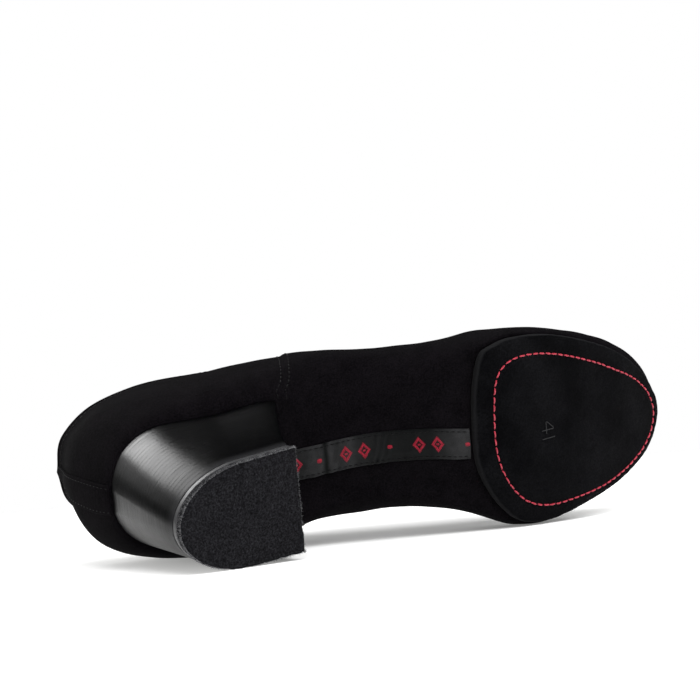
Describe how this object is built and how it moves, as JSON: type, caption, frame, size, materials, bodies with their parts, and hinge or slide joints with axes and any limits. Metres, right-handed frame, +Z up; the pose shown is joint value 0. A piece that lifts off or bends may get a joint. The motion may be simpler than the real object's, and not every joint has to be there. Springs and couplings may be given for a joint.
{
  "type": "ballroom dance shoe",
  "caption": "Low lace-up dance shoe for the right foot, with a suede split sole, a tapered heel and a flexible waist",
  "frame": {"origin": "on the ground, under the middle of the bounding box of the shoe lying on its inner side", "axes": "+X from heel to toe, +Y from the sole to the collar, +Z up, towards the shoe's outer side"},
  "size_m": [0.2724, 0.1318, 0.0884],
  "materials": {
    "black_nubuck": "deep black nubuck with a soft short nap",
    "sole_suede": "napped charcoal suede, rough and slightly mottled",
    "stacked_heel": "black satin over stacked layers, with fine lines between them",
    "heel_lift": "matt black lift",
    "woven_tape": "dark grey satin-woven tape with small dark red woven figures",
    "lining_leather": "smooth dark lining leather",
    "black_metal": "black enamelled eyelets",
    "lace_cord": "round braided black cord",
    "red_thread": "waxed red sewing thread"
  },
  "bodies": {
    "root": {"upper": "black_nubuck", "outsole_front": "sole_suede", "insole": "lining_leather", "arch_tape": "woven_tape", "heel": "stacked_heel", "heel_lift": "heel_lift", "heel_tip": "sole_suede", "back_stay": "black_nubuck", "facing_inner": "black_nubuck", "facing_outer": "black_nubuck", "tongue": "black_nubuck", "eyelet_inner_1": "black_metal", "eyelet_inner_2": "black_metal", "eyelet_inner_3": "black_metal", "eyelet_inner_4": "black_metal", "eyelet_inner_5": "black_metal", "eyelet_outer_1": "black_metal", "eyelet_outer_2": "black_metal", "eyelet_outer_3": "black_metal", "eyelet_outer_4": "black_metal", "eyelet_outer_5": "black_metal", "lace_bar_1": "lace_cord", "lace_bar_2": "lace_cord", "lace_bar_3": "lace_cord", "lace_bar_4": "lace_cord", "lace_bar_5": "lace_cord"}
  },
  "joints": []
}
